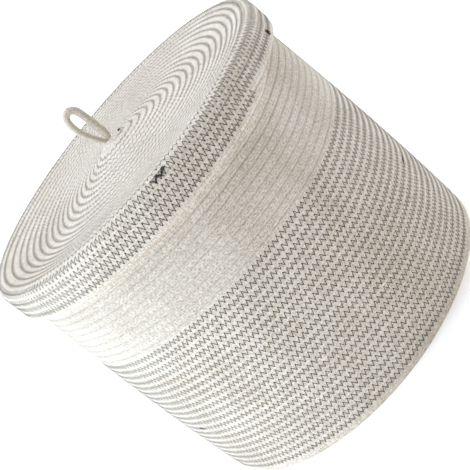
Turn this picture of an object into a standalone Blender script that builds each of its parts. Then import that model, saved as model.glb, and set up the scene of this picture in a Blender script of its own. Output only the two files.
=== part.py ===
"""Laundry hamper with a lid, made of coiled cotton rope. Metres, +Z up, origin under the base.

The hamper is one rope laid in a flat spiral for the floor and a helix for the wall, its turns sewn
side by side with a zigzag seam. The cap lid is a second spiral that bends down into a skirt over
the rim, and a loop of rope stands at its centre. Each rope zone is a plain turned shell here, and
each run of stitching is a thin skin over the shell that it is sewn into.
"""
import math

import bmesh
import bpy
from mathutils import Matrix, Vector

# Rope and thread
ROPE_PITCH = 0.010
ROPE_THICKNESS = 0.0088
THREAD_THICKNESS = 0.0004
GAP = 0.0003
SEGMENTS = 40

# Basket
BASE_RADIUS = 0.2005
RIM_RADIUS = 0.1972
BELLY = 0.0037
RIM_HEIGHT = 0.3343
FOOT_ROUNDING = 0.0045
RIM_ROUNDING = 0.0032
CHARCOAL_ROWS = 21
CHARCOAL_TOP = (CHARCOAL_ROWS + 0.5) * ROPE_PITCH

# Lid
LID_RADIUS = 0.2095
LID_EDGE_HEIGHT = 0.306
SHOULDER_ROUNDING = 0.012
RING_HEIGHT = 0.3436
RING_RADIUS = 0.190
VALLEY_HEIGHT = 0.3375
VALLEY_RADIUS = 0.115
APEX_HEIGHT = 0.3565
CENTRE_HOLE_RADIUS = 0.0065
CROWN_RADII = (CENTRE_HOLE_RADIUS, 0.0165, 0.040, 0.065, 0.090, VALLEY_RADIUS, 0.150, 0.180, RING_RADIUS)
SEAM_REACH = 0.0032

# Loop on the lid
LOOP_ROPE_RADIUS = 0.0046
LOOP_HEIGHT = 0.0509
LOOP_SPREAD = 0.0116
LOOP_LEAN = math.radians(13.4)
LOOP_BALL_RADIUS = 0.0048
STEM_BALL_LEVELS = ((-0.0048, 0.05), (-0.0040, 0.5), (-0.0022, 0.85), (0.0010, 1.0))
STEM_OVERLAP = 0.002
PIVOT_HEIGHT = APEX_HEIGHT + GAP + LOOP_BALL_RADIUS

COTTON = ("natural_cotton_rope", (0.76, 0.71, 0.62), 0.9)
LOOP_COTTON = ("loop_cotton_rope", (0.70, 0.63, 0.52), 0.9)
CHARCOAL_THREAD = ("charcoal_thread", (0.05, 0.047, 0.044), 0.7)
IVORY_THREAD = ("ivory_thread", (0.80, 0.76, 0.68), 0.7)
BLACK_THREAD = ("black_thread", (0.012, 0.012, 0.012), 0.6)


def clear_scene():
    for obj in list(bpy.data.objects):
        bpy.data.objects.remove(obj, do_unlink=True)


def finish(finish_spec):
    """The material of a (name, colour, roughness) finish, made once."""
    name, colour, roughness = finish_spec
    material = bpy.data.materials.get(name)
    if material is None:
        material = bpy.data.materials.new(name)
        material.use_nodes = True
        shader = material.node_tree.nodes["Principled BSDF"]
        shader.inputs["Base Color"].default_value = (*colour, 1)
        shader.inputs["Roughness"].default_value = roughness
        shader.inputs["Metallic"].default_value = 0
    return material


def empty(name, location, lean=0.0, parent=None):
    holder = bpy.data.objects.new(name, None)
    bpy.context.collection.objects.link(holder)
    holder.location = location
    holder.rotation_euler = (0, -lean, 0)
    holder.parent = parent
    return holder


def add_object(name, shape, finish_spec, holder):
    """A mesh object made from a bmesh in the holder's own frame, shaded smooth but for its edges."""
    bmesh.ops.recalc_face_normals(shape, faces=shape.faces)
    mesh = bpy.data.meshes.new(name)
    shape.to_mesh(mesh)
    shape.free()
    mesh.shade_smooth()
    mesh.set_sharp_from_angle(angle=math.radians(50))
    mesh.materials.append(finish(finish_spec))
    obj = bpy.data.objects.new(name, mesh)
    bpy.context.collection.objects.link(obj)
    obj.parent = holder
    return obj


def turned(name, outline, finish_spec, holder):
    """A closed outline of (radius, height) points turned about Z. A point on the axis is a pole."""
    shape = bmesh.new()
    drop = holder.location.z
    rings = []
    for radius, height in outline:
        if radius == 0:
            rings.append([shape.verts.new((0, 0, height - drop))])
            continue
        ring = []
        for step in range(SEGMENTS):
            angle = 2 * math.pi * step / SEGMENTS
            ring.append(shape.verts.new((radius * math.cos(angle), radius * math.sin(angle), height - drop)))
        rings.append(ring)
    for ring, following in zip(rings, rings[1:] + rings[:1]):
        for step in range(SEGMENTS):
            after = (step + 1) % SEGMENTS
            if len(ring) == 1 and len(following) == 1:
                break
            if len(ring) == 1:
                shape.faces.new((ring[0], following[step], following[after]))
            elif len(following) == 1:
                shape.faces.new((ring[step], following[0], ring[after]))
            else:
                shape.faces.new((ring[step], following[step], following[after], ring[after]))
    return add_object(name, shape, finish_spec, holder)


def spaced(start, end, count):
    return [start + (end - start) * step / (count - 1) for step in range(count)]


def wall_radius(height):
    """The wall's outer radius: a slight taper to the rim with a slight belly."""
    part = min(max(height / RIM_HEIGHT, 0), 1)
    return BASE_RADIUS + (RIM_RADIUS - BASE_RADIUS) * part + BELLY * 4 * part * (1 - part)


def crown_height(radius):
    """The crown's upper face: drawn up to the loop, low half way out, and raised over the rim."""
    if radius < VALLEY_RADIUS:
        return VALLEY_HEIGHT + (APEX_HEIGHT - VALLEY_HEIGHT) * (1 - radius / VALLEY_RADIUS) ** 1.35
    part = min((radius - VALLEY_RADIUS) / (RING_RADIUS - VALLEY_RADIUS), 1)
    return VALLEY_HEIGHT + (RING_HEIGHT - VALLEY_HEIGHT) * part**1.3


def wall_band(start, end, depth, thickness, count):
    """The outline of a band that follows the wall: depth is how far its outer face lies inside it."""
    heights = spaced(start, end, count)
    outer = [(wall_radius(height) - depth, height) for height in heights]
    inner = [(wall_radius(height) - depth - thickness, height) for height in reversed(heights)]
    return outer + inner


def crown_band(radii, lift, thickness):
    """The outline of a band that follows the crown: lift is how far its upper face lies above it."""
    upper = [(radius, crown_height(radius) + lift) for radius in radii]
    lower = [(radius, crown_height(radius) + lift - thickness) for radius in reversed(radii)]
    return upper + lower


def shoulder_line(offset, lowest, steps=5):
    """Points from the raised ring round the shoulder and down the skirt to a lowest height."""
    centre_radius = LID_RADIUS - SHOULDER_ROUNDING
    centre_height = RING_HEIGHT - SHOULDER_ROUNDING
    rounding = SHOULDER_ROUNDING + offset
    points = [(RING_RADIUS + GAP, RING_HEIGHT + offset)]
    for angle in spaced(math.pi / 2, 0, steps):
        points.append((centre_radius + rounding * math.cos(angle), centre_height + rounding * math.sin(angle)))
    if lowest < centre_height:
        points.append((LID_RADIUS + offset, lowest))
    return points


def make_basket(holder):
    floor_radius = wall_radius(0) - ROPE_THICKNESS
    turned(
        "base_coil",
        [(0, 0), (floor_radius - GAP, 0), (floor_radius - GAP, ROPE_THICKNESS), (0, ROPE_THICKNESS)],
        COTTON,
        holder,
    )
    turned("foot_course", foot_outline(floor_radius), COTTON, holder)
    charcoal_wall = wall_band(ROPE_PITCH + GAP, CHARCOAL_TOP, 0, ROPE_THICKNESS, 5)
    turned("wall_coil_charcoal_zone", charcoal_wall, COTTON, holder)
    rim_start = RIM_HEIGHT - ROPE_PITCH
    ivory_wall = wall_band(CHARCOAL_TOP + GAP, rim_start - GAP, 0, ROPE_THICKNESS, 3)
    turned("wall_coil_ivory_zone", ivory_wall, COTTON, holder)
    turned("rim_course", rim_outline(rim_start), COTTON, holder)


def foot_outline(floor_radius):
    """The outermost turn of the floor, which is also the wall's first row, rounded at the ground."""
    top = ROPE_PITCH
    outer = wall_radius(0)
    points = [(floor_radius, top), (floor_radius, 0)]
    for angle in spaced(-math.pi / 2, 0, 4):
        points.append(
            (outer - FOOT_ROUNDING + FOOT_ROUNDING * math.cos(angle), FOOT_ROUNDING * (1 + math.sin(angle)))
        )
    points.append((wall_radius(top), top))
    return points


def rim_outline(start):
    """The last turn of the wall, rounded on top where the lid rests."""
    outer = wall_radius(start)
    inner = outer - ROPE_THICKNESS
    outline = [(inner, start), (outer, start)]
    for angle in spaced(0, math.pi / 2, 3):
        outline.append(
            (RIM_RADIUS - RIM_ROUNDING * (1 - math.cos(angle)), RIM_HEIGHT - RIM_ROUNDING * (1 - math.sin(angle)))
        )
    for angle in spaced(math.pi / 2, math.pi, 3):
        outline.append(
            (
                RIM_RADIUS - ROPE_THICKNESS + RIM_ROUNDING * (1 + math.cos(angle)),
                RIM_HEIGHT - RIM_ROUNDING * (1 - math.sin(angle)),
            )
        )
    return outline


def make_basket_stitching(holder):
    """Skins of stitching: each seam shows its needle thread outside and its bobbin thread inside."""
    outside = -GAP - THREAD_THICKNESS
    inside = ROPE_THICKNESS + GAP
    first_seam = ROPE_PITCH - SEAM_REACH
    last_seam = RIM_HEIGHT - ROPE_PITCH + SEAM_REACH
    inner_start = ROPE_THICKNESS + 4 * THREAD_THICKNESS + GAP
    bands = (
        ("wall_stitching_charcoal_outer", first_seam, CHARCOAL_TOP, outside, CHARCOAL_THREAD, 5),
        ("wall_stitching_charcoal_inner", inner_start, CHARCOAL_TOP, inside, CHARCOAL_THREAD, 5),
        ("wall_stitching_ivory_outer", CHARCOAL_TOP + GAP, last_seam, outside, IVORY_THREAD, 3),
        ("wall_stitching_ivory_inner", CHARCOAL_TOP + GAP, last_seam, inside, IVORY_THREAD, 3),
    )
    for name, start, end, depth, thread, count in bands:
        turned(name, wall_band(start, end, depth, THREAD_THICKNESS, count), thread, holder)
    floor_radius = wall_radius(0) - ROPE_THICKNESS - ROPE_PITCH
    low = ROPE_THICKNESS + GAP
    high = low + THREAD_THICKNESS
    turned(
        "base_stitching_inner",
        [(0, low), (floor_radius, low), (floor_radius, high), (0, high)],
        CHARCOAL_THREAD,
        holder,
    )


def make_lid(holder):
    crown = crown_band(CROWN_RADII, 0, ROPE_THICKNESS)
    turned("lid_crown_coil", crown, COTTON, holder)
    skirt_top = RING_HEIGHT - SHOULDER_ROUNDING
    shoulder = shoulder_line(0, skirt_top) + shoulder_line(-ROPE_THICKNESS, skirt_top, 3)[::-1]
    turned("lid_shoulder_coil", shoulder, COTTON, holder)
    inner = LID_RADIUS - ROPE_THICKNESS
    edge_top = LID_EDGE_HEIGHT + ROPE_PITCH
    turned(
        "lid_skirt_coil",
        [
            (inner, edge_top + GAP),
            (LID_RADIUS, edge_top + GAP),
            (LID_RADIUS, skirt_top - GAP),
            (inner, skirt_top - GAP),
        ],
        COTTON,
        holder,
    )
    bevel = ROPE_THICKNESS / 4
    turned(
        "lid_edge_course",
        [
            (inner, edge_top),
            (inner, LID_EDGE_HEIGHT + bevel),
            (inner + bevel, LID_EDGE_HEIGHT),
            (LID_RADIUS - bevel, LID_EDGE_HEIGHT),
            (LID_RADIUS, LID_EDGE_HEIGHT + bevel),
            (LID_RADIUS, edge_top),
        ],
        COTTON,
        holder,
    )


def make_lid_stitching(holder):
    top = crown_band(CROWN_RADII[1:], GAP + THREAD_THICKNESS, THREAD_THICKNESS)
    turned("lid_stitching_crown_top", top, CHARCOAL_THREAD, holder)
    under = crown_band(CROWN_RADII[2:-1], -ROPE_THICKNESS - GAP, THREAD_THICKNESS)
    turned("lid_stitching_crown_under", under, CHARCOAL_THREAD, holder)
    lowest = LID_EDGE_HEIGHT + ROPE_PITCH - SEAM_REACH
    outer = shoulder_line(GAP + THREAD_THICKNESS, lowest) + shoulder_line(GAP, lowest)[::-1]
    turned("lid_stitching_skirt_outer", outer, CHARCOAL_THREAD, holder)
    inner = LID_RADIUS - ROPE_THICKNESS - GAP
    highest = RING_HEIGHT - SHOULDER_ROUNDING
    turned(
        "lid_stitching_skirt_inner",
        [
            (inner - THREAD_THICKNESS, lowest),
            (inner, lowest),
            (inner, highest),
            (inner - THREAD_THICKNESS, highest),
        ],
        CHARCOAL_THREAD,
        holder,
    )


def make_tack(name, place, outward, along, size, finish_spec, holder):
    """A small bar of close stitches: a flat oval bead lying on a surface with its normal outward."""
    length, width, thickness = size
    side = outward.cross(along).normalized()
    turn = Matrix((along.normalized(), side, outward.normalized())).transposed().to_4x4()
    scale = Matrix.Diagonal((length / 2, width / 2, thickness / 2, 1))
    centre = place + outward.normalized() * thickness / 2 - holder.location
    shape = bmesh.new()
    bmesh.ops.create_uvsphere(
        shape, u_segments=10, v_segments=6, radius=1, matrix=Matrix.Translation(centre) @ turn @ scale
    )
    return add_object(name, shape, finish_spec, holder)


def around(radius, degrees, height):
    """A point at an angle counted from the front, -Y, towards +X."""
    angle = math.radians(degrees)
    return Vector((radius * math.sin(angle), -radius * math.cos(angle), height))


def make_tacks(basket, lid):
    clear = 2 * GAP + THREAD_THICKNESS
    level = Vector((0, 0, 1))
    joins = (("wall_thread_join_right", 65, 0.110), ("wall_thread_join_left", -66, 0.087))
    for name, degrees, height in joins:
        outward = around(1, degrees, 0)
        place = around(wall_radius(height) + clear, degrees, height)
        make_tack(name, place, outward, level.cross(outward), (0.012, 0.005, 0.0010), CHARCOAL_THREAD, basket)
    outward = around(1, 64, 0)
    place = around(LID_RADIUS + clear, 64, 0.3225)
    make_tack("lid_tack_side", place, outward, level.cross(outward), (0.006, 0.006, 0.0010), BLACK_THREAD, lid)
    slope = math.radians(52)
    outward = around(math.cos(slope), 0, math.sin(slope))
    corner = around(LID_RADIUS - SHOULDER_ROUNDING, 0, RING_HEIGHT - SHOULDER_ROUNDING)
    place = corner + outward * (SHOULDER_ROUNDING + clear)
    make_tack("lid_tack_front", place, outward, Vector((1, 0, 0)), (0.016, 0.006, 0.0010), BLACK_THREAD, lid)
    across = CENTRE_HOLE_RADIUS + 0.0045
    place = Vector((across, 0, crown_height(across) + GAP))
    outward = Vector((crown_height(across) - crown_height(across + GAP), 0, GAP))
    make_tack("lid_tack_centre", place, outward, Vector((0, 1, 0)), (0.005, 0.004, 0.0010), BLACK_THREAD, lid)


def make_loop_root(holder):
    """The loop's two ends, drawn down through the crown's centre and sewn flat under it."""
    stem = CENTRE_HOLE_RADIUS - GAP
    flange = 3 * stem
    under = crown_height(flange) - ROPE_THICKNESS - GAP
    turned(
        "loop_root",
        [
            (0, APEX_HEIGHT),
            (stem * 0.8, APEX_HEIGHT),
            (stem, APEX_HEIGHT - stem / 4),
            (stem, under),
            (flange * 0.8, under),
            (flange, under - ROPE_THICKNESS / 4),
            (flange, under - ROPE_THICKNESS * 0.75),
            (flange * 0.8, under - ROPE_THICKNESS),
            (0, under - ROPE_THICKNESS),
        ],
        LOOP_COTTON,
        holder,
    )


def loop_point(turn):
    """A point on the loop's centre line, a teardrop with its cusp at the pivot, in the loop's frame."""
    across = LOOP_SPREAD * math.sin(turn) * math.sin(turn / 2)
    return Vector((across, 0, LOOP_HEIGHT * (1 - math.cos(turn)) / 2))


def make_loop(holder):
    """The loop: a tube along the teardrop, joined by a Boolean to the stem where its legs meet."""
    first_turn = 1.02
    turns = spaced(first_turn, 2 * math.pi - first_turn, 25)
    curve = bpy.data.curves.new("lid_loop", "CURVE")
    curve.dimensions = "3D"
    curve.bevel_depth = LOOP_ROPE_RADIUS
    curve.bevel_resolution = 3
    curve.use_fill_caps = True
    spline = curve.splines.new("POLY")
    spline.points.add(len(turns) - 1)
    for point, turn in zip(spline.points, turns):
        point.co = (*loop_point(turn), 1)
    curve.materials.append(finish(LOOP_COTTON))
    tube = bpy.data.objects.new("loop_tube_guide", curve)
    bpy.context.collection.objects.link(tube)
    graph = bpy.context.evaluated_depsgraph_get()
    mesh = bpy.data.meshes.new_from_object(tube.evaluated_get(graph))
    bpy.data.objects.remove(tube)
    mesh.name = "lid_loop"
    mesh.shade_smooth()
    loop = bpy.data.objects.new("lid_loop", mesh)
    bpy.context.collection.objects.link(loop)
    loop.parent = holder
    stem = make_loop_stem(holder, loop_point(first_turn))
    union = loop.modifiers.new("legs_meet", "BOOLEAN")
    union.operation = "UNION"
    union.object = stem


def make_loop_stem(holder, top):
    """The guide for the joined legs: ovals that widen from a ball at the pivot to both legs' width.

    STEM_BALL_LEVELS gives each ring of the ball: its height and its share of the ball's radius."""
    sides = 12
    wide = top.x + LOOP_ROPE_RADIUS - GAP
    middle = (wide + LOOP_BALL_RADIUS - GAP) / 2
    deep = LOOP_ROPE_RADIUS - GAP
    ovals = [(height, LOOP_BALL_RADIUS * part, LOOP_BALL_RADIUS * part) for height, part in STEM_BALL_LEVELS]
    ovals += [(top.z / 2, middle, deep), (top.z + STEM_OVERLAP, wide, deep)]
    shape = bmesh.new()
    rings = []
    for height, half_width, half_depth in ovals:
        ring = []
        for side in range(sides):
            angle = 2 * math.pi * (side + 0.5) / sides
            ring.append(shape.verts.new((half_width * math.cos(angle), half_depth * math.sin(angle), height)))
        rings.append(ring)
    for ring, following in zip(rings, rings[1:]):
        for side in range(sides):
            after = (side + 1) % sides
            shape.faces.new((ring[side], ring[after], following[after], following[side]))
    shape.faces.new(rings[0])
    shape.faces.new(rings[-1])
    stem = add_object("loop_stem_guide", shape, LOOP_COTTON, holder)
    stem.hide_render = True
    stem.display_type = "WIRE"
    return stem


def main():
    clear_scene()
    basket = empty("basket_frame", (0, 0, 0))
    lid = empty("lid_frame", (0, 0, RIM_HEIGHT))
    loop = empty("loop_pivot", (0, 0, PIVOT_HEIGHT), LOOP_LEAN)
    make_basket(basket)
    make_basket_stitching(basket)
    make_lid(lid)
    make_lid_stitching(lid)
    make_tacks(basket, lid)
    make_loop_root(lid)
    make_loop(loop)


main()
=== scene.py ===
"""Looks of the coiled cotton hamper: its ropes, stitching, tacks, loop and materials.

Metres, +Z up. Angles are measured round +Z from the front (-Y) towards +X. Every rope is a real
coil: the basket is one rope wound in a flat spiral for the floor and a helix for the wall, and the
lid is a second rope wound outwards over the crown and down the skirt. Rows are counted along each
rope in turns. A seam of the basket has the number of the row outside it or above it, and a seam of
the lid has the number of the row inside it or above it.
"""
import math
from typing import Callable, NamedTuple

import bpy
import numpy as np
from mathutils import Matrix, Vector


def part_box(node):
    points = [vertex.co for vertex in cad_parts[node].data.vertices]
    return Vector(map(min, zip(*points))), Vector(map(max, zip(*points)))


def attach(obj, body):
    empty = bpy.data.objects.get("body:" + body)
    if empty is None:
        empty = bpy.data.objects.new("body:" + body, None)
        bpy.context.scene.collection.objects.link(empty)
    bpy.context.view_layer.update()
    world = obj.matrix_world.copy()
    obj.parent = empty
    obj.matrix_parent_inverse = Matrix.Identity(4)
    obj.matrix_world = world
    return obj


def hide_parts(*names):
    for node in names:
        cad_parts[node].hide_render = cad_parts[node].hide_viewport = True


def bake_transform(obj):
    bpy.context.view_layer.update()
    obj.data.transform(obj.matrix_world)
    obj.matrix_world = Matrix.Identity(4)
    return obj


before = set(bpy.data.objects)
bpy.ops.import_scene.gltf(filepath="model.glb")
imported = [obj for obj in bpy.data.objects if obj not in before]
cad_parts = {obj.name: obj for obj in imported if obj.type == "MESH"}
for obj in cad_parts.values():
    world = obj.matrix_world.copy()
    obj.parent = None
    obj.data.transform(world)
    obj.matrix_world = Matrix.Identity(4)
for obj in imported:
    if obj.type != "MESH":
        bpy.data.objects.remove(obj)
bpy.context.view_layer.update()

RNG = np.random.default_rng(20)
MM = 0.001

# The rope of the basket and the lid. Its rows are pressed into each other, so PRESSED is how many
# times as tall as the pitch a row is. A power says how square a section is, and ROUND is a circle.
# The braid moves on by BRAID_PER_TURN metres for each turn that comes before a piece of rope.
ROPE_DEPTH = 8.8 * MM
HALF_DEPTH = ROPE_DEPTH / 2
SECTION_POWER = 8.0
ROUND = 2.0
PRESSED = 1.13
IVORY_PRESSED = 1.17
UNPRESSED = 1.0
LUMPS = 0.04 * MM
ROPE_STEP = 3.0 * MM
ROPE_SIDES = 20
BRAID_PER_TURN = 0.7

# The basket's rows, from the middle of the floor to the rim
FOOT_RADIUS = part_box("foot_course")[1].x
RIM_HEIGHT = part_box("rim_course")[1].z
RIM_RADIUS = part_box("rim_course")[1].x
BASE_TURNS = 19
WALL_ROWS = 34
CHARCOAL_ROWS = 21
FLOOR_GAP = 0.1 * MM
BASE_TOP = 8.0 * MM
BASE_START_RADIUS = 5 * MM
BASE_PITCH = (FOOT_RADIUS - HALF_DEPTH - BASE_START_RADIUS) / (BASE_TURNS + 0.5)
FIRST_SEAM = 11.6 * MM
CHARCOAL_PITCH = 9.95 * MM
IVORY_PITCH = 9.42 * MM
WALL_BELLY = 3.7 * MM
WALL_WANDER = 0.35 * MM

# Near the foot and the rim the rows lie level, and step up at the back over part of a turn. They
# turn into an even helix over a few rows.
LEVEL_ROWS = 2.5
STEP_SHARE = 0.10

# Where the maker's hand wandered: the wall's rows dip at one place, and rise at the +X side and
# fall at the other, but not at the back. Places and widths are in degrees from the front.
DRIFT = 0.35
ROW_DIP = 2.1 * MM
ROW_DIP_AT = 31
ROW_DIP_WIDTH = 15
ROW_TILT = 3.0 * MM
ROW_TILT_FROM = 42
ROW_TILT_OVER = 40
ROW_BACK_FROM = 120
ROW_BACK_OVER = 60
ROW_RIPPLE = 0.28 * MM
FREE_FROM_FOOT = 2
FREE_FROM_RIM = 3

# The lid's rows, from the loop to the free edge. The shoulder lies between two row numbers.
LID_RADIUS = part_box("lid_edge_course")[1].x
LID_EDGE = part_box("lid_edge_course")[0].z
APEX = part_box("lid_crown_coil")[1].z
LID_FIRST_TURN = -0.33
LID_LAST_TURN = 24.13
CROWN_ROWS = 19
CROWN_PITCH = 9.5 * MM
CROWN_LAST_RADIUS = 192.15 * MM
SKIRT_ROW = 22
SKIRT_ROW_RISE = 25.5 * MM
SKIRT_PITCH = 10.1 * MM
SHOULDER = (CROWN_ROWS - 0.4, SKIRT_ROW - 0.6)
SLOPE_STEP = 0.05

# The blunt end of the lid's rope: how long it is in turns, how thin it gets, how far it lies in
END_TURNS = 0.03
END_SIZE = 0.3
END_TUCK = 0.7

# The crown's surface. VALLEY and RING hold, in mm, its mean height and how much higher it lies at
# the front, at +X, and at both the front and the back.
VALLEY = (339.7, 3.0, 2.5, 2.2)
VALLEY_RADIUS = 118 * MM
TENT_POWER = 1.35
RING = (346.8, 5.2, -1.2, 0.0)
RING_RADIUS = 193 * MM
RING_POWER = 1.7
MOUND = 5.0 * MM
MOUND_RADIUS = 18 * MM

# The crown's rows lie off centre towards +X, and its middle off centre the other way
CROWN_SHIFT = 2.3 * MM
CROWN_SHIFT_RADIUS = 175 * MM
CROWN_SHIFT_FADE = 25 * MM
CENTRE_SHIFT = -3.6 * MM
CENTRE_SHIFT_RADIUS = 60 * MM
CENTRE_PULL = 2.2 * MM
CENTRE_PULL_TURNS = 1.5

# The skirt hangs lower at the back and at +X. It humps up and stands away from the wall near its
# rope's end. Places and widths are in degrees from the front.
SKIRT_DROP_BACK = 2.5 * MM
SKIRT_DROP_RIGHT = 1.5 * MM
SKIRT_HUMP = 2.2 * MM
SKIRT_HUMP_AT = 36
SKIRT_HUMP_WIDTH = 16
SKIRT_STAND = 2.2 * MM
SKIRT_STAND_AT = 26
SKIRT_STAND_WIDTH = 18
SKIRT_STAND_FROM = SKIRT_ROW - 0.6
SKIRT_STAND_OVER = 2

# Stitching: the distance from hole to hole along a seam, and how far the holes lie to each side of
# it. A thread is flattened against the rope, and bridges the groove between two rows.
STITCH_STEP = 3.03 * MM
WALL_REACH = 3.2 * MM
SKIRT_REACH = 4.1 * MM
CROWN_REACH = 2.2 * MM
REACH_WIDENS_FROM = 18.4
REACH_WIDENS_OVER = 1.4
CHARCOAL_RADIUS = 0.42 * MM
CROWN_THREAD_RADIUS = 0.36 * MM
IVORY_RADIUS = 0.36 * MM
FLATTENED = 0.34
BRIDGE = 0.9 * MM
DEEPEST_REACH = 0.9
UNDER_SINK = 0.25 * MM

# How uneven the stitches are: shares of a step and of the reach, and a height over the rope in mm
UNEVEN_STEP = 0.05
UNEVEN_REACH = 0.06
UNEVEN_LIFT = 0.03

# Dark pegs, sunk into the rope, that stand for the pits where a pale thread goes into it. Their colour
# is painted shade, for the shadow inside each pit.
HOLE_RADIUS = 0.5 * MM
HOLE_SIDES = 6
HOLE_SIZES = (0.7, 1.15)
HOLE_MOUTH = 0.17 * MM
HOLE_DEPTH = 0.6 * MM
HOLE_TAPER = 0.5

OUTSIDE = 1
INSIDE = -1


# ---------------------------------------------------------------- numbers and points

def smooth(x):
    """Eases from 0 to 1 as x goes from 0 to 1."""
    x = np.clip(x, 0.0, 1.0)
    return x * x * (3 - 2 * x)


def bell(x, middle, width):
    """A bump of height 1 round middle."""
    return np.exp(-(((x - middle) / width) ** 2))


def unit(vectors):
    """The vectors at length 1."""
    return vectors / np.linalg.norm(vectors, axis=-1, keepdims=True)


def arc_length(points):
    """The distance along a line of points."""
    steps = np.linalg.norm(np.diff(points, axis=0), axis=1)
    return np.concatenate([[0.0], np.cumsum(steps)])


def polar(radius, angle, height):
    """Points at an angle from the front towards +X."""
    return np.stack([radius * np.sin(angle), -radius * np.cos(angle), height], -1)


def from_front(angle):
    """The angle in degrees from the front, from -180 to 180."""
    return np.degrees((angle + math.pi) % (2 * math.pi) - math.pi)


# ---------------------------------------------------------------- mesh helpers

def add_mesh(name, points, quads, caps, along, around, material):
    """A mesh object. along and around give each quad corner's place on its rope."""
    mesh = bpy.data.meshes.new(name)
    corners = np.concatenate([quads.ravel(), caps.ravel()])
    starts = np.arange(len(quads)) * 4
    cap_starts = len(quads) * 4 + np.arange(len(caps)) * caps.shape[1]
    mesh.vertices.add(len(points))
    mesh.vertices.foreach_set("co", points.astype(np.float32).ravel())
    mesh.loops.add(len(corners))
    mesh.loops.foreach_set("vertex_index", corners.astype(np.int32))
    mesh.polygons.add(len(quads) + len(caps))
    mesh.polygons.foreach_set("loop_start", np.concatenate([starts, cap_starts]).astype(np.int32))
    mesh.update(calc_edges=True)
    layer = mesh.uv_layers.new(name="along_rope")
    uv = np.zeros((len(corners), 2), np.float32)
    uv[: quads.size, 0] = along.ravel()
    uv[: quads.size, 1] = around.ravel()
    layer.data.foreach_set("uv", uv.ravel())
    mesh.polygons.foreach_set("use_smooth", np.ones(len(mesh.polygons), bool))
    mesh.materials.append(material)
    obj = bpy.data.objects.new(name, mesh)
    bpy.context.scene.collection.objects.link(obj)
    return obj


def ring_quads(count, sides):
    """The quads between count rings of so many points."""
    ring = np.arange(count - 1)[:, None] * sides
    side = np.arange(sides)[None, :]
    after = (side + 1) % sides
    quads = np.stack([ring + side, ring + side + sides, ring + after + sides, ring + after], -1)
    return quads.reshape(-1, 4)


def section(sides, power):
    """Points round a section of half-width 1: a circle at power 2, and squarer as power grows."""
    half_degrees = 720
    fine = np.linspace(0, 2 * math.pi, half_degrees + 1)
    size = (np.abs(np.cos(fine)) ** power + np.abs(np.sin(fine)) ** power) ** (-1 / power)
    length = arc_length(np.stack([np.cos(fine) * size, np.sin(fine) * size], -1))
    angle = np.interp(np.arange(sides) / sides * length[-1], length, fine)
    size = np.interp(angle, fine, size)
    return np.cos(angle) * size, np.sin(angle) * size


def sweep(name, centre, out, up, depth, height, distance, material, sides=ROPE_SIDES,
          power=SECTION_POWER, flare=0.0, lumps=0.0):
    """A closed tube along centre, depth thick along out and height tall along up, both half sizes.

    flare widens the tube's outer face where a coil bends over an edge, and lumps roughens it."""
    count = len(centre)
    cos, sin = section(sides, power)
    thick = depth[:, None] * cos + lumps * RNG.normal(0, 1, (count, sides)) * np.abs(cos)
    tall = height[:, None] * sin * (1 + np.reshape(flare, (-1, 1)) * cos)
    points = centre[:, None] + out[:, None] * thick[..., None] + up[:, None] * tall[..., None]
    quads = ring_quads(count, sides)
    near = np.repeat(distance[:-1], sides)
    far = np.repeat(distance[1:], sides)
    along = np.stack([near, far, far, near], -1)
    side = np.tile(np.arange(sides), count - 1) / sides
    around = np.stack([side, side, side + 1 / sides, side + 1 / sides], -1)
    caps = np.stack([np.arange(sides), np.arange(sides)[::-1] + (count - 1) * sides])
    # Whichever way the line runs, the faces look outwards.
    if np.dot(np.cross(out[0], up[0]), centre[1] - centre[0]) > 0:
        quads, along, around, caps = (each[:, ::-1] for each in (quads, along, around, caps))
    return add_mesh(name, points.reshape(-1, 3), quads, caps, along, around, material)


# ---------------------------------------------------------------- the basket's rope

def waves(angle, level, seed, low=2, high=9):
    """Smooth variation of about one unit round the object that drifts slowly from row to row, with
    from low to high - 1 waves in a turn."""
    rng = np.random.default_rng(seed)
    total = np.zeros(np.broadcast(angle, level).shape)
    for turns in range(low, high):
        size = rng.normal()
        phase = rng.uniform(0, 2 * math.pi)
        drift = rng.normal(0, DRIFT)
        total = total + size / math.sqrt(high - low) * np.cos(turns * angle + phase + drift * level)
    return total


def row_wave(angle, level):
    """How far the wall's rows sit above or below level, fading out at the foot and the rim."""
    degrees = from_front(angle)
    dip = ROW_DIP * bell(degrees, ROW_DIP_AT, ROW_DIP_WIDTH)
    right = smooth((degrees - ROW_TILT_FROM) / ROW_TILT_OVER)
    left = smooth((-degrees - ROW_TILT_FROM) / ROW_TILT_OVER)
    back = 1 - smooth((np.abs(degrees) - ROW_BACK_FROM) / ROW_BACK_OVER)
    free = smooth(level / FREE_FROM_FOOT) * smooth((WALL_ROWS - level) / FREE_FROM_RIM)
    return (ROW_TILT * (right - left) * back - dip + ROW_RIPPLE * waves(angle, level, seed=5)) * free


def basket_angle(turn):
    """The basket's rope starts at the back and runs clockwise as seen from above."""
    return math.pi - 2 * math.pi * turn


def out_and_up(angle):
    """Outward and upward directions at angles round the object."""
    out = polar(np.ones_like(angle), angle, np.zeros_like(angle))
    up = np.tile([0.0, 0.0, 1.0], (len(angle), 1))
    return out, up


def climb(level, share):
    """How far a seam has gone towards the next after part of a turn from the back: evenly where
    level is 0, and all in one step round the back where level is 1."""
    step = 0.5 * smooth(share / STEP_SHARE) + 0.5 * smooth((share - 1 + STEP_SHARE) / STEP_SHARE)
    return (1 - level) * share + level * step


def wall_radius(height):
    """Outside radius of the wall, which tapers a little and bellies out half way up."""
    share = height / RIM_HEIGHT
    return FOOT_RADIUS + (RIM_RADIUS - FOOT_RADIUS) * share + WALL_BELLY * 4 * share * (1 - share)


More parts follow.
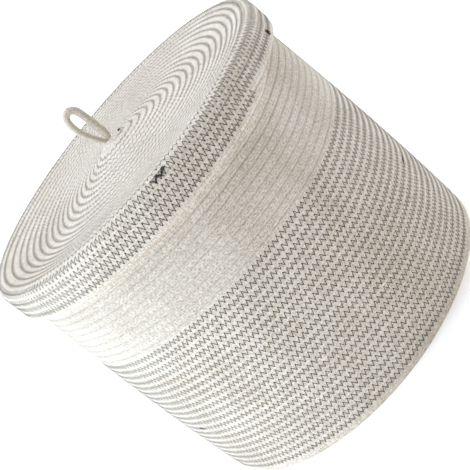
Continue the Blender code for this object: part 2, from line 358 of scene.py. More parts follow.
def wall_seam_height(turn):
    """Height of the wall's seam after so many turns from the back of the foot row."""
    seam = np.floor(turn)
    ends = np.exp(-seam / LEVEL_ROWS) + np.exp(-(WALL_ROWS - seam) / LEVEL_ROWS)
    level = seam - 0.5 + climb(np.clip(ends, 0, 1), turn - seam)
    top_charcoal_seam = FIRST_SEAM + (CHARCOAL_ROWS - 1) * CHARCOAL_PITCH
    top_ivory_seam = top_charcoal_seam + (WALL_ROWS - 1 - CHARCOAL_ROWS) * IVORY_PITCH
    levels = (0, 0.5, 1, CHARCOAL_ROWS, WALL_ROWS - 1, WALL_ROWS)
    heights = (FLOOR_GAP, BASE_TOP, FIRST_SEAM, top_charcoal_seam, top_ivory_seam, RIM_HEIGHT)
    return np.interp(level, levels, heights) + row_wave(basket_angle(turn), level)


def wall_rope(turn):
    """Centre, outward and upward directions, half depth, half height and flare of the wall's rope,
    turn by turn. It starts half a pitch further in, where the base's rope ends."""
    low = wall_seam_height(turn)
    high = wall_seam_height(turn + 1)
    angle = basket_angle(turn)
    height = (low + high) / 2
    depth = np.full_like(height, HALF_DEPTH)
    wander = WALL_WANDER * waves(angle, turn, seed=11, low=1, high=6) * smooth(turn)
    start = 0.5 * BASE_PITCH * (1 - smooth(turn / STEP_SHARE))
    out, up = out_and_up(angle)
    centre = polar(wall_radius(height) - HALF_DEPTH + wander - start, angle, height)
    return centre, out, up, depth, (high - low) / 2, 0.0


def base_seam_radius(turn):
    """Radius of the base's seam after so many turns. Its last rows are circles that step outwards at
    the back."""
    seam = np.floor(turn)
    level = np.exp(-(BASE_TURNS - seam) / LEVEL_ROWS)
    return BASE_START_RADIUS + BASE_PITCH * (seam - 0.5 + climb(level, turn - seam))


def base_rope(turn):
    """Centre, upward and outward directions, half depth, half width and flare of the base's rope."""
    inner = base_seam_radius(turn)
    outer = base_seam_radius(turn + 1)
    angle = basket_angle(turn)
    half = (BASE_TOP - FLOOR_GAP) / 2
    depth = np.full_like(angle, half)
    out, up = out_and_up(angle)
    centre = polar((inner + outer) / 2, angle, depth + FLOOR_GAP)
    return centre, up, out, depth, (outer - inner) / 2, 0.0


# ---------------------------------------------------------------- the lid's rope

def warped_height(heights, angle):
    """Height round the crown from its mean height and how much higher it lies at the front, at +X,
    and at both the front and the back."""
    mean, front, right, both = heights
    return (mean + front * np.cos(angle) + right * np.sin(angle) + both * np.cos(2 * angle)) * MM


def crown_height(radius, angle):
    """Surface of the crown: a tent with a small mound round the loop, a valley, and a raised ring
    at the rim."""
    valley = warped_height(VALLEY, angle)
    tent = (APEX - valley) * np.clip(1 - radius / VALLEY_RADIUS, 0, 1) ** TENT_POWER
    tent = tent + MOUND * bell(radius, 0, MOUND_RADIUS)
    share = np.clip((radius - VALLEY_RADIUS) / (RING_RADIUS - VALLEY_RADIUS), 0, 1)
    ring = (warped_height(RING, angle) - valley) * share**RING_POWER
    return valley + tent + ring


def crown_line(row, angle):
    """Radius and height of the rope's centre on the crown."""
    pulled_in = CENTRE_PULL * bell(row, 0, CENTRE_PULL_TURNS)
    radius = CROWN_LAST_RADIUS - CROWN_PITCH * (CROWN_ROWS - row) - pulled_in
    return radius, crown_height(radius, angle) - HALF_DEPTH


def skirt_line(row, angle):
    """Radius and height of the rope's centre on the skirt."""
    degrees = from_front(angle)
    drop = SKIRT_DROP_BACK * (1 - np.cos(angle)) + SKIRT_DROP_RIGHT * np.sin(angle)
    hump = SKIRT_HUMP * bell(degrees, SKIRT_HUMP_AT, SKIRT_HUMP_WIDTH)
    height = LID_EDGE + SKIRT_ROW_RISE - SKIRT_PITCH * (row - SKIRT_ROW) + hump - drop
    lower_rows = smooth((row - SKIRT_STAND_FROM) / SKIRT_STAND_OVER)
    stand = SKIRT_STAND * bell(degrees, SKIRT_STAND_AT, SKIRT_STAND_WIDTH) * lower_rows
    return LID_RADIUS - HALF_DEPTH + stand, height


def bend(share, first, leaving, last, arriving):
    """A smooth curve from first to last with the slopes leaving and arriving."""
    return (
        first * (2 * share**3 - 3 * share**2 + 1)
        + leaving * (share**3 - 2 * share**2 + share)
        + last * (-2 * share**3 + 3 * share**2)
        + arriving * (share**3 - share**2)
    )


def lid_line(row, angle):
    """Radius and height of the lid's profile at a row number: crown, rounded shoulder, then skirt."""
    start, end = SHOULDER
    crown = crown_line(np.minimum(row, start), angle)
    skirt = skirt_line(np.maximum(row, end), angle)
    first = crown_line(np.full_like(row, start), angle)
    before = crown_line(np.full_like(row, start - SLOPE_STEP), angle)
    last = skirt_line(np.full_like(row, end), angle)
    after = skirt_line(np.full_like(row, end + SLOPE_STEP), angle)
    share = np.clip((row - start) / (end - start), 0, 1)
    scale = (end - start) / SLOPE_STEP
    found = []
    for axis in range(2):
        leaving = (first[axis] - before[axis]) * scale
        arriving = (after[axis] - last[axis]) * scale
        shoulder = bend(share, first[axis], leaving, last[axis], arriving)
        found.append(np.where(row <= start, crown[axis], np.where(row >= end, skirt[axis], shoulder)))
    return found[0], found[1]


def lid_points(row, angle):
    """The rope's centre on the lid, with the crown shifted off centre."""
    radius, height = lid_line(row, angle)
    middle = 1 - smooth(radius / CENTRE_SHIFT_RADIUS)
    shift = CROWN_SHIFT * (1 - smooth((radius - CROWN_SHIFT_RADIUS) / CROWN_SHIFT_FADE))
    centre = polar(radius, angle, height)
    centre[:, 0] += CENTRE_SHIFT * middle + shift * (1 - middle)
    return centre


def lid_frame(row, angle):
    """Centre, outward and onward directions and half pitch on the lid at a row number and an angle."""
    before = lid_points(row - 0.5, angle)
    after = lid_points(row + 0.5, angle)
    centre = lid_points(row, angle)
    onward = after - before
    pitch = np.linalg.norm(onward, axis=1)
    onward = onward / pitch[:, None]
    tangent = polar(np.ones_like(angle), angle + math.pi / 2, np.zeros_like(angle))
    out = unit(np.cross(onward, tangent))
    return centre, out, onward, pitch / 2


def lid_rope(turn):
    """Centre, outward and onward directions, half depth, half pitch and flare of the lid's rope,
    turn by turn. Turn 0 is at the front, and it runs the other way round from the basket's."""
    angle = 2 * math.pi * turn
    centre, out, onward, half = lid_frame(turn, angle)
    end = END_SIZE + (1 - END_SIZE) * smooth((LID_LAST_TURN - turn) / END_TURNS) ** 0.5
    centre = centre - onward * (half * (1 - end))[:, None] * END_TUCK
    before, out_before, _, _ = lid_frame(turn - 0.5, angle)
    after, out_after, _, _ = lid_frame(turn + 0.5, angle)
    face = np.linalg.norm(after + out_after * HALF_DEPTH - before - out_before * HALF_DEPTH, axis=1)
    return centre, out, onward, HALF_DEPTH * end, half * end, face / (2 * half) - 1


# ---------------------------------------------------------------- coils as meshes

def basket_reach(turn):
    """The basket's stitches are the same width all over."""
    return np.full_like(turn, WALL_REACH)


def lid_reach(turn):
    """The lid's stitches are narrow over the crown and widen over its shoulder."""
    wide = smooth((turn - REACH_WIDENS_FROM) / REACH_WIDENS_OVER)
    return CROWN_REACH + (SKIRT_REACH - CROWN_REACH) * wide


class Coil(NamedTuple):
    """A rope's shape by turn number, the number of the row inside seam 0, how far the stitches of a
    seam reach to each side, and the body."""
    rope: Callable
    inner: int
    reach: Callable
    body: str


BASE = Coil(base_rope, -1, basket_reach, "basket")
WALL = Coil(wall_rope, -1, basket_reach, "basket")
LID = Coil(lid_rope, 0, lid_reach, "lid")


def even_turns(line, first, last, step):
    """Turn numbers from first to last, spaced evenly along the line."""
    samples_per_turn = 400
    turn = np.linspace(first, last, int((last - first) * samples_per_turn) + 2)
    distance = arc_length(line(turn))
    steps = max(2, int(round(distance[-1] / step)))
    return np.interp(np.linspace(0, distance[-1], steps + 1), distance, turn)


def rope_piece(name, coil, first, last, node, material, pressed):
    """Part of a rope, pressed a little into the rows beside it."""
    turn = even_turns(lambda t: coil.rope(t)[0], first, last, ROPE_STEP)
    centre, out, up, depth, height, flare = coil.rope(turn)
    distance = arc_length(centre) + first * BRAID_PER_TURN
    height = height * pressed
    obj = sweep(name, centre, out, up, depth, height, distance, material, flare=flare, lumps=LUMPS)
    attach(obj, coil.body)
    if node:
        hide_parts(node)


def make_ropes(material):
    """Every rope piece, from its first to its last turn, and the CAD node that it replaces."""
    for name, coil, first, last, node, pressed in (
        ("base_rope", BASE, 0, BASE_TURNS, "base_coil", PRESSED),
        ("foot_rope", WALL, 0, 1, "foot_course", UNPRESSED),
        ("wall_rope_lower", WALL, 1, 11, "wall_coil_charcoal_zone", PRESSED),
        ("wall_rope_middle", WALL, 11, 21.5, None, PRESSED),
        ("wall_rope_upper", WALL, 21.5, 33, "wall_coil_ivory_zone", IVORY_PRESSED),
        ("rim_rope", WALL, 33, WALL_ROWS, "rim_course", UNPRESSED),
        ("lid_crown_rope", LID, LID_FIRST_TURN, 19.4, "lid_crown_coil", PRESSED),
        ("lid_shoulder_rope", LID, 19.4, 21.4, "lid_shoulder_coil", PRESSED),
        ("lid_skirt_rope", LID, 21.4, 23.13, "lid_skirt_coil", PRESSED),
        ("lid_edge_rope", LID, 23.13, LID_LAST_TURN, "lid_edge_course", UNPRESSED),
    ):
        rope_piece(name, coil, first, last, node, material, pressed)


# ---------------------------------------------------------------- stitching as meshes

# Each leg's points: the share of the leg, the height over the rope in mm, the share of the thread's
# radius
FRONT_LEG = ((0.0, -0.06, 1.55), (0.1, 0.02, 1.2), (0.3, 0.02, 0.9), (0.5, 0.02, 0.85),
             (0.7, 0.02, 0.9), (0.9, 0.02, 1.2))
BACK_LEG = ((0.0, -0.10, 1.2), (0.2, 0.02, 1.0), (0.5, 0.04, 1.0), (0.8, 0.02, 1.0))


class Yarn(NamedTuple):
    """A thread's material, slot and radius. Nothing reads the slot."""
    material: bpy.types.Material
    slot: str
    radius: float


def thread(name, points, out, radius, material, sides, flat=1.0):
    """A thin thread through the points. radius is one size or one for each point, and flat is the
    thread's thickness as a share of its width, where it is pulled tight against the rope."""
    tangent = unit(np.gradient(points, axis=0))
    side = unit(np.cross(tangent, out))
    out = np.cross(side, tangent)
    size = np.zeros(len(points)) + radius
    return sweep(name, points, out, side, size * flat, size, arc_length(points), material, sides, ROUND)


def on_seam(coil, turn, across, face, rise):
    """Points on the coil's surface at a signed distance across its seam, and the outward directions
    there. The groove itself is bridged."""
    share = np.clip(0.5 + across / (2 * BRIDGE), 0, 1)[:, None]
    found = []
    faces = []
    for row, side in ((coil.inner, 1), (coil.inner + 1, -1)):
        centre, out, up, depth, height, flare = coil.rope(turn + row)
        width = np.maximum(height * (1 + face * flare), MM)
        inset = np.clip(-side * across, 0, DEEPEST_REACH * width)
        place = (width - np.maximum(inset, BRIDGE)) / (width * PRESSED)
        surface = depth * (1 - place**SECTION_POWER) ** (1 / SECTION_POWER)
        local = side * (width - inset)
        found.append(centre + up * local[:, None] + out * (face * (surface + rise))[:, None])
        faces.append(out * face)
    points = found[0] * (1 - share) + found[1] * share
    return points, unit(faces[0] * (1 - share) + faces[1] * share)


def zigzag(name, coil, first, last, face, yarn, node, sink):
    """A zigzag seam between two rows, on the outside or the inside of the coil. Each leg runs from a
    needle hole in one row to the next hole in the other row. Returns the holes' places and the
    outward directions there."""
    legs, sides = (FRONT_LEG, 5) if face == OUTSIDE else (BACK_LEG, 4)
    turn = even_turns(lambda t: coil.rope(t + coil.inner)[0], first, last, STITCH_STEP)
    reach = coil.reach(turn)
    count = len(turn) - 1
    gap = (turn[-1] - turn[0]) / count
    turn = turn + RNG.normal(0, UNEVEN_STEP, len(turn)) * gap
    reach = reach * (1 + RNG.normal(0, UNEVEN_REACH, len(turn)))
    reach = reach * np.where(np.arange(len(turn)) % 2, 1, -1)
    lift = RNG.normal(0, UNEVEN_LIFT, len(turn)) * MM - sink
    rows = []
    for share, rise, _ in legs:
        between = turn[:-1] * (1 - share) + turn[1:] * share
        across = reach[:-1] * (1 - share) + reach[1:] * share
        rows.append(on_seam(coil, between, across, face, rise * MM + lift[:-1]))
    points = np.stack([row[0] for row in rows], 1).reshape(-1, 3)
    outs = np.stack([row[1] for row in rows], 1).reshape(-1, 3)
    sizes = np.tile([yarn.radius * leg[2] for leg in legs], count)
    obj = thread(name, points, outs, sizes, yarn.material, sides, FLATTENED)
    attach(obj, coil.body)
    if node:
        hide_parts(node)
    return points[:: len(legs)], outs[:: len(legs)]


def hole_shade_pegs(name, points, outs, material, body):
    """Small dark pegs where a pale thread goes into the rope, standing a little proud of it. Their
    colour is painted shade, for the shadow inside each needle hole.
    """
    sides = np.arange(HOLE_SIDES)
    angle = sides * 2 * math.pi / HOLE_SIDES
    side = unit(np.cross(outs, (0.0, 0.0, 1.0)))
    up = np.cross(outs, side)
    ring = side[:, None] * np.cos(angle)[:, None] + up[:, None] * np.sin(angle)[:, None]
    size = HOLE_RADIUS * RNG.uniform(*HOLE_SIZES, len(points))[:, None, None]
    mouth = points[:, None] + outs[:, None] * HOLE_MOUTH + ring * size
    bottom = points[:, None] - outs[:, None] * HOLE_DEPTH + ring * size * HOLE_TAPER
    first = np.arange(len(points))[:, None, None] * 2 * HOLE_SIDES
    quads = (ring_quads(2, HOLE_SIDES)[None] + first).reshape(-1, 4)
    caps = (np.stack([sides, sides[::-1] + HOLE_SIDES])[None] + first).reshape(-1, HOLE_SIDES)
    place = np.zeros_like(quads)
    points = np.stack([mouth, bottom], 1).reshape(-1, 3)
    obj = add_mesh(name, points, quads, caps, place, place, material)
    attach(obj, body)


def make_stitching(charcoal, ivory, hole):
    """Every run of seam, from its first to its last turn, and the CAD node that it replaces."""
    coal = Yarn(charcoal, "charcoal_thread", CHARCOAL_RADIUS)
    fine = Yarn(charcoal, "charcoal_thread", CROWN_THREAD_RADIUS)
    pale = Yarn(ivory, "ivory_thread", IVORY_RADIUS)
    for name, coil, first, last, face, yarn, node, sink in (
        ("wall_stitching_low", WALL, 1, 8, OUTSIDE, coal, "wall_stitching_charcoal_outer", 0),
        ("wall_stitching_middle", WALL, 8, 15, OUTSIDE, coal, None, 0),
        ("wall_stitching_high", WALL, 15, 22, OUTSIDE, coal, None, 0),
        ("wall_stitching_ivory", WALL, 22, 28, OUTSIDE, pale, "wall_stitching_ivory_outer", 0),
        ("wall_stitching_ivory_top", WALL, 28, 34, OUTSIDE, pale, None, 0),
        ("inner_stitching_low", WALL, 1, 11.5, INSIDE, coal, "wall_stitching_charcoal_inner", 0),
        ("inner_stitching_high", WALL, 11.5, 22, INSIDE, coal, None, 0),
        ("inner_stitching_ivory", WALL, 22, 34, INSIDE, pale, "wall_stitching_ivory_inner", 0),
        ("base_stitching_top", BASE, 0.9, 14, OUTSIDE, coal, "base_stitching_inner", 0),
        ("base_stitching_edge", BASE, 14, 20, OUTSIDE, coal, None, 0),
        ("base_stitching_under", BASE, 0.9, 20, INSIDE, coal, None, UNDER_SINK),
        ("crown_stitching_top", LID, 0.1, 14, OUTSIDE, fine, "lid_stitching_crown_top", 0),
        ("crown_stitching_edge", LID, 14, 19, OUTSIDE, fine, None, 0),
        ("skirt_stitching_outer", LID, 19, 23.1, OUTSIDE, coal, "lid_stitching_skirt_outer", 0),
        ("crown_stitching_under", LID, 0.1, 19, INSIDE, fine, "lid_stitching_crown_under", 0),
        ("skirt_stitching_inner", LID, 19, 23.1, INSIDE, coal, "lid_stitching_skirt_inner", 0),
    ):
        points, outs = zigzag(name, coil, first, last, face, yarn, node, sink)
        # each pale seam on the outside gets dark pegs at its needle holes, whose colour is painted
        # shade
        if yarn is pale and face == OUTSIDE:
            hole_shade_pegs(name + "_painted_hole_shade", points, outs, hole, coil.body)


# ---------------------------------------------------------------- tacks

def nearest_seam(node, coil, seams):
    """The turn at which a coil's seam passes nearest to a CAD node, and the node's radius."""
    low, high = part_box(node)
    middle = np.array((low + high) / 2)
    samples = 6000
    turn = np.linspace(seams[0], seams[1], samples)
    flat = np.zeros_like(turn)
    seam, _ = on_seam(coil, turn, flat, OUTSIDE, flat)
    found = np.argmin(np.linalg.norm(seam - middle, axis=1))
    return turn[found], math.hypot(middle[0], middle[1])


def tack(name, node, coil, seams, yarn, strands, length, width, aside=0.0):
    """Thread sewn back and forth over one spot of a seam, where the CAD node is: length goes along
    the row and width across it. aside moves it off the seam. Each strand is an arch that crosses the
    one before it and stands a little higher, with its ends in the rope."""
    middle, reach = nearest_seam(node, coil, seams)
    rng = np.random.default_rng(sum(map(ord, node)))
    steps = np.linspace(0, 1, 7)
    arch = 1 - (2 * steps - 1) ** 2
    end_sink = 0.4
    along = []
    across = []
    rise = []
    for strand in range(strands):
        start = rng.uniform(-0.5, 0.2) * length
        run = rng.uniform(0.25, 0.45) * length
        slope = rng.uniform(0.4, 1.0) * width * (1 if strand % 2 else -1)
        level = rng.uniform(-0.2, 0.2) * width
        along.append(start + run * steps)
        across.append(aside + level + slope * (steps - 0.5))
        rise.append(yarn.radius * ((0.9 + 0.12 * strand) * arch - end_sink))
    turn = middle + np.concatenate(along) / (2 * math.pi * reach)
    points, outs = on_seam(coil, turn, np.concatenate(across), OUTSIDE, np.concatenate(rise))
    obj = thread(name, points, outs, yarn.radius, yarn.material, 6)
    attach(obj, coil.body)
    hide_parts(node)


def make_tacks(charcoal, black):
    """Three black tacks on the lid, and two places where the wall's thread was joined."""
    knot = Yarn(black, "black_thread", 0.5 * MM)
    dot = Yarn(black, "black_thread", 0.7 * MM)
    loose = Yarn(charcoal, "charcoal_thread", 0.42 * MM)
    lid_seams = (0, 23.1)
    wall_seams = (1, 33)
    tack("tack_front", "lid_tack_front", LID, lid_seams, knot,
         strands=7, length=22 * MM, width=7 * MM)
    tack("tack_side", "lid_tack_side", LID, lid_seams, knot,
         strands=4, length=12 * MM, width=7 * MM)
    tack("tack_centre", "lid_tack_centre", LID, lid_seams, dot,
         strands=6, length=5 * MM, width=3 * MM, aside=-4.3 * MM)
    for side in ("left", "right"):
        tack("join_" + side, "wall_thread_join_" + side, WALL, wall_seams, loose,
             strands=4, length=14 * MM, width=4 * MM)


# ---------------------------------------------------------------- the loop

# The loop's centre line in mm across and above the crown's middle: flat under the crown, up through
# its centre, round, and back down beside the first leg
LOOP_LINE = ((22, -18.5), (14, -18), (5, -15), (0.2, -9), (-1.5, -3), (-1.5, 2), (-0.9, 6.5),
             (0.0, 14), (-0.2, 23), (-0.4, 33), (-0.8, 43), (-2.2, 51), (-6.4, 55.8), (-11.8, 55.6),
             (-16.2, 50.6), (-18.0, 42), (-17.4, 31.5), (-15.2, 22), (-12.0, 13), (-8.9, 6.5),
             (-6.4, 2), (-5.7, -3), (-7.2, -9), (-12, -15), (-21, -18), (-29, -18.5))
LOOP_ROPE_HALF = 4.4 * MM
LOOP_ROPE_POWER = 2.2
LOOP_ROPE_SIDES = 24
LOOP_STEPS = 10
LOOP_ROOT_HALF = 2.1 * MM
LOOP_ROOT_DEPTH = 0.9

# The legs thicken upwards from the root, and the second one is pulled a little thinner
LOOP_THICKENS_FROM = -3 * MM
LOOP_THICKENS_OVER = 16 * MM
LOOP_THINNER = 0.12
LOOP_THINS_OVER = 0.1


def curve_through(points, steps):
    """A Catmull-Rom curve through the points, with so many steps from each to the next."""
    padded = np.vstack([2 * points[0] - points[1], points, 2 * points[-1] - points[-2]])
    share = (np.arange(steps) / steps)[:, None]
    found = []
    for i in range(1, len(padded) - 2):
        a, b, c, d = padded[i - 1 : i + 3]
        curved = (2 * a - 5 * b + 4 * c - d) * share**2 + (3 * b - a - 3 * c + d) * share**3
        found.append(0.5 * (2 * b + (c - a) * share + curved))
    return np.vstack(found + [points[-1:]])


def make_loop(material):
    """The rope loop. Its legs are pulled thin at the root, where they go through the crown."""
    line = curve_through(np.array(LOOP_LINE) * MM, LOOP_STEPS)
    count = len(line)
    centre = np.stack([line[:, 0], np.zeros(count), APEX + line[:, 1]], -1)
    tangent = unit(np.gradient(centre, axis=0))
    out = np.tile([0.0, -1.0, 0.0], (count, 1))
    side = unit(np.cross(tangent, out))
    free = smooth((line[:, 1] - LOOP_THICKENS_FROM) / LOOP_THICKENS_OVER)
    second_leg = smooth((np.arange(count) / count - 0.5) / LOOP_THINS_OVER)
    full = LOOP_ROPE_HALF * (1 - LOOP_THINNER * second_leg)
    width = LOOP_ROOT_HALF + (full - LOOP_ROOT_HALF) * free
    depth = LOOP_ROPE_HALF * (LOOP_ROOT_DEPTH + (1 - LOOP_ROOT_DEPTH) * free)
    obj = sweep("loop_rope", centre, out, side, depth, width, arc_length(centre), material,
                LOOP_ROPE_SIDES, LOOP_ROPE_POWER)
    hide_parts("lid_loop", "loop_root")
    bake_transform(obj)


# ---------------------------------------------------------------- materials

class Nodes:
    """A short way to build a node tree."""

    def __init__(self, name):
        self.material = bpy.data.materials.new(name)
        self.material.use_nodes = True
        self.tree = self.material.node_tree
        self.shader = self.tree.nodes["Principled BSDF"]

    def add(self, kind, **settings):
        node = self.tree.nodes.new(kind)
        for key, value in settings.items():
            setattr(node, key, value)
        return node

    def put(self, socket, value):
        """Links a socket to the input, or sets the input to a constant."""
        if isinstance(value, bpy.types.NodeSocket):
            self.tree.links.new(value, socket)
        else:
            socket.default_value = value

    def surface(self, **values):
        """Sets the shader's inputs, with each name's spaces written as underscores."""
        for name, value in values.items():
            self.put(self.shader.inputs[name.replace("_", " ")], value)

    def math(self, operation, first, second=0.0, third=0.0):
        node = self.add("ShaderNodeMath", operation=operation)
        for socket, value in zip(node.inputs, (first, second, third)):
            self.put(socket, value)
        return node.outputs[0]

    def noise(self, scale, detail, roughness):
        """Noise from 0 to 1 in the object's own space. scale is in waves per metre."""
        node = self.add("ShaderNodeTexNoise")
        self.put(node.inputs["Vector"], self.add("ShaderNodeTexCoord").outputs["Object"])
        node.inputs["Scale"].default_value = scale
        node.inputs["Detail"].default_value = detail
        node.inputs["Roughness"].default_value = roughness
        return node.outputs["Fac"]

    def ramp(self, factor, low, high, first, second):
        """Maps factor from low..high to first..second, held outside that."""
        node = self.add("ShaderNodeMapRange")
        for socket, value in zip(node.inputs, (factor, low, high, first, second)):
            self.put(socket, value)
        return node.outputs[0]

    def mix(self, factor, first, second):
        """A colour between first and second. The node has sockets of every kind, and those numbered
        6 and 7, and the output numbered 2, are the colours."""
        node = self.add("ShaderNodeMix", data_type="RGBA")
        self.put(node.inputs[0], factor)
        self.put(node.inputs[6], first)
        self.put(node.inputs[7], second)
        return node.outputs[2]

    def bump(self, height, distance, strength, normal=None):
        """A normal bent by a height from 0 to 1 that stands for a distance in metres."""
        node = self.add("ShaderNodeBump")
        node.inputs["Strength"].default_value = strength
        node.inputs["Distance"].default_value = distance
        self.put(node.inputs["Height"], height)
        if normal is not None:
            self.put(node.inputs["Normal"], normal)
        return node.outputs["Normal"]

    def rope_place(self):
        """The place along the rope in metres and around it from 0 to 1."""
        uv = self.add("ShaderNodeUVMap", uv_map="along_rope")
        parts = self.add("ShaderNodeSeparateXYZ")
        self.put(parts.inputs[0], uv.outputs[0])
        return parts.outputs[0], parts.outputs[1]


def rgb(red, green, blue):
    """An sRGB colour of 0 to 255 as a linear colour."""
    return tuple(((c / 255 + 0.055) / 1.055) ** 2.4 for c in (red, green, blue)) + (1.0,)


def rope_material(name, light, dark_and_shade, braid_length, strands, braid_depth):
    """Braided cotton rope: diamonds of yarn wound both ways, with loose fibres and uneven colour. The
    colour is darker in the gaps between the yarns, which is painted shade, and varies at random in
    clumps and broad patches, which is the rope's own uneven colour.
    """
    n = Nodes(name)
    along, around = n.rope_place()
    turns = n.math("MULTIPLY", around, float(strands))
    runs = n.math("MULTIPLY", along, 1.0 / braid_length)
    right = n.math("SINE", n.math("MULTIPLY", n.math("ADD", runs, turns), math.pi * 2))
    left = n.math("SINE", n.math("MULTIPLY", n.math("SUBTRACT", runs, turns), math.pi * 2))
    braid = n.math("MULTIPLY_ADD", n.math("MULTIPLY", right, left), 0.5, 0.5)
    fibres = n.noise(1400.0, 3.0, 0.65)
    clumps = n.noise(420.0, 2.0, 0.7)
    broad = n.noise(16.0, 2.0, 0.5)
    patches = n.math("ADD", clumps, n.math("MULTIPLY", broad, 0.3))
    # tone is lower in the gaps between the braid's yarns, so the darker colour there is painted shade;
    # clumps and broad patches add the rope's own uneven colour
    tone = n.math("MULTIPLY_ADD", braid, 0.12, patches)
    rough = n.math("MULTIPLY_ADD", fibres, 0.5, n.math("MULTIPLY", clumps, 0.5))
    n.surface(
        Base_Color=n.mix(n.ramp(tone, 0.52, 0.86, 0.0, 1.0), dark_and_shade, light),
        Roughness=n.ramp(fibres, 0.2, 0.8, 0.82, 0.97),
        Specular_IOR_Level=0.2,
        Sheen_Weight=0.25,
        Sheen_Roughness=0.5,
        Normal=n.bump(rough, 0.5 * MM, 0.6, n.bump(braid, braid_depth, 0.9)),
    )
    return n.material


def thread_material(name, light, dark_and_shade, roughness, sheen):
    """Twisted sewing thread: two plies wound round each other, a little uneven in colour. The colour is
    darker in the grooves between the plies, which is painted shade, and the noise in it is the thread's
    own uneven colour.
    """
    n = Nodes(name)
    along, around = n.rope_place()
    runs = n.math("MULTIPLY", along, 1.0 / (1.5 * MM))
    twist = n.math("ADD", runs, n.math("MULTIPLY", around, 2.0))
    ply = n.math("ABSOLUTE", n.math("SINE", n.math("MULTIPLY", twist, math.pi)))
    fuzz = n.noise(2200.0, 2.0, 0.6)
    broad = n.noise(60.0, 2.0, 0.5)
    uneven = n.math("MULTIPLY_ADD", fuzz, 0.3, n.math("MULTIPLY", broad, 0.5))
    # tone is lower in the grooves between the plies, so the darker colour there is painted shade; fuzz
    # and broad noise add the thread's own uneven colour
    tone = n.math("MULTIPLY_ADD", ply, 0.35, uneven)
    n.surface(
        Base_Color=n.mix(n.ramp(tone, 0.3, 0.85, 0.0, 1.0), dark_and_shade, light),
        Roughness=n.ramp(fuzz, 0.2, 0.8, roughness - 0.08, roughness + 0.1),
        Sheen_Weight=sheen,
        Sheen_Roughness=0.4,
        Sheen_Tint=(1.0, 0.94, 0.86, 1.0),
        Normal=n.bump(ply, 0.2 * MM, 0.8),
    )
    return n.material


def floor_material():
    """Plain pale paper with a very faint grain, lit from behind like a studio table."""
    n = Nodes("pale_floor")
    grain = n.noise(40.0, 2.0, 0.5)
    n.surface(
        Base_Color=n.mix(grain, (0.90, 0.90, 0.895, 1.0), (0.92, 0.92, 0.915, 1.0)),
        Roughness=0.9,
        Specular_IOR_Level=0.1,
        Emission_Color=(1.0, 0.92, 0.84, 1.0),
        Emission_Strength=0.25,
    )
    return n.material


# ---------------------------------------------------------------- camera, light and floor

CAMERA_ELEVATION = math.radians(20.02)
CAMERA_ROLL = math.radians(50.95)
CAMERA_DISTANCE = 1.582
CAMERA_AIM = Vector((0.0, 0.0, 0.1782))
CAMERA_LENS = 106.8
CAMERA_SHIFT = (0.0093, -0.0015)

WORLD_COLOUR = (1.0, 0.93, 0.80, 1.0)
WORLD_STRENGTH = 0.09
MIDDLE = (0.0, 0.0, 0.2)

FLOOR_SIDE = 60.0
FLOOR_SQUARES = 12
FLOOR_DROP = 0.2 * MM


def add_camera():
    """A camera in front of the hamper, looking a little down on it and rolled to one side."""
    data = bpy.data.cameras.new("camera")
    data.lens = CAMERA_LENS
    data.sensor_width = 36.0
    data.shift_x, data.shift_y = CAMERA_SHIFT
    camera = bpy.data.objects.new("camera", data)
    bpy.context.scene.collection.objects.link(camera)
    forward = Vector((0.0, math.cos(CAMERA_ELEVATION), -math.sin(CAMERA_ELEVATION)))
    right = Vector((1.0, 0.0, 0.0))
    up = right.cross(forward)
    x_axis = right * math.cos(CAMERA_ROLL) - up * math.sin(CAMERA_ROLL)
    y_axis = right * math.sin(CAMERA_ROLL) + up * math.cos(CAMERA_ROLL)
    turn = Matrix((x_axis, y_axis, -forward)).transposed().to_4x4()
    camera.matrix_world = Matrix.Translation(CAMERA_AIM - forward * CAMERA_DISTANCE) @ turn
    bpy.context.scene.camera = camera


def add_lamp(name, kind, place, aim, size, power, colour):
    """A soft lamp. size is the width of an area's disk in metres or the angle of a sun in degrees."""
    data = bpy.data.lights.new(name, kind)
    if kind == "AREA":
        data.shape = "DISK"
        data.size = size
    else:
        data.angle = math.radians(size)
    data.energy = power
    data.color = colour
    lamp = bpy.data.objects.new(name, data)
    lamp.location = place
    lamp.rotation_euler = (Vector(aim) - Vector(place)).to_track_quat("-Z", "Y").to_euler()
    bpy.context.scene.collection.objects.link(lamp)


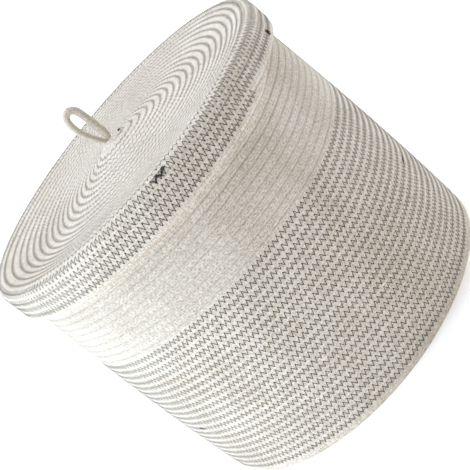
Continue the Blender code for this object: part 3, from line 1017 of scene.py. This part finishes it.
def add_light():
    """A broad lamp at the left, a soft sun overhead and a lamp behind at the right, in dim light."""
    world = bpy.data.worlds.new("studio")
    world.use_nodes = True
    world.node_tree.nodes["Background"].inputs["Color"].default_value = WORLD_COLOUR
    world.node_tree.nodes["Background"].inputs["Strength"].default_value = WORLD_STRENGTH
    bpy.context.scene.world = world
    add_lamp("key", "AREA", (-2.4, -0.3, 0.9), MIDDLE,
             size=1.6, power=56.0, colour=(0.73, 0.85, 1.0))
    add_lamp("top", "SUN", (-0.1, 0.1, 3.0), (0, 0, 0),
             size=60.0, power=2.78, colour=(0.855, 0.915, 1.0))
    add_lamp("rim", "AREA", (1.45, 1.75, 1.0), MIDDLE,
             size=1.4, power=28.0, colour=(0.97, 0.98, 1.0))


def add_floor():
    """A wide flat floor of squares, just under the hamper."""
    mark = (np.arange(FLOOR_SQUARES + 1) / FLOOR_SQUARES - 0.5) * FLOOR_SIDE
    x, y = np.meshgrid(mark, mark, indexing="ij")
    points = np.stack([x, y, np.full_like(x, -FLOOR_DROP)], -1).reshape(-1, 3)
    row, column = np.meshgrid(np.arange(FLOOR_SQUARES), np.arange(FLOOR_SQUARES), indexing="ij")
    across = FLOOR_SQUARES + 1
    first = (row * across + column).ravel()
    quads = np.stack([first, first + across, first + across + 1, first + 1], -1)
    place = np.zeros_like(quads)
    floor = add_mesh("floor", points, quads, np.empty((0, 4), int), place, place, floor_material())


# ---------------------------------------------------------------- the whole object

def main():
    bpy.context.scene.view_settings.view_transform = "Standard"
    natural = rope_material("natural_cotton_rope", rgb(252, 243, 230), rgb(200, 186, 164),
                            braid_length=5.0 * MM, strands=8, braid_depth=0.35 * MM)
    warm = rope_material("loop_cotton_rope", rgb(243, 234, 220), rgb(212, 198, 176),
                         braid_length=6.0 * MM, strands=6, braid_depth=0.3 * MM)
    charcoal = thread_material("charcoal_thread", rgb(68, 58, 47), rgb(35, 29, 23),
                               roughness=0.7, sheen=0.65)
    ivory = thread_material("ivory_thread", rgb(244, 240, 231), rgb(222, 214, 200),
                            roughness=0.7, sheen=0.4)
    # the needle holes' colour is painted shade, a darkened copy of the rope
    hole = rope_material("needle_hole_shade", rgb(158, 147, 129), rgb(122, 111, 95),
                         braid_length=5.0 * MM, strands=8, braid_depth=0.2 * MM)
    black = thread_material("black_thread", rgb(34, 34, 35), rgb(16, 16, 17),
                            roughness=0.6, sheen=0.1)

    make_ropes(natural)
    make_stitching(charcoal, ivory, hole)
    make_tacks(charcoal, black)
    make_loop(warm)
    add_camera()
    add_light()
    add_floor()


main()
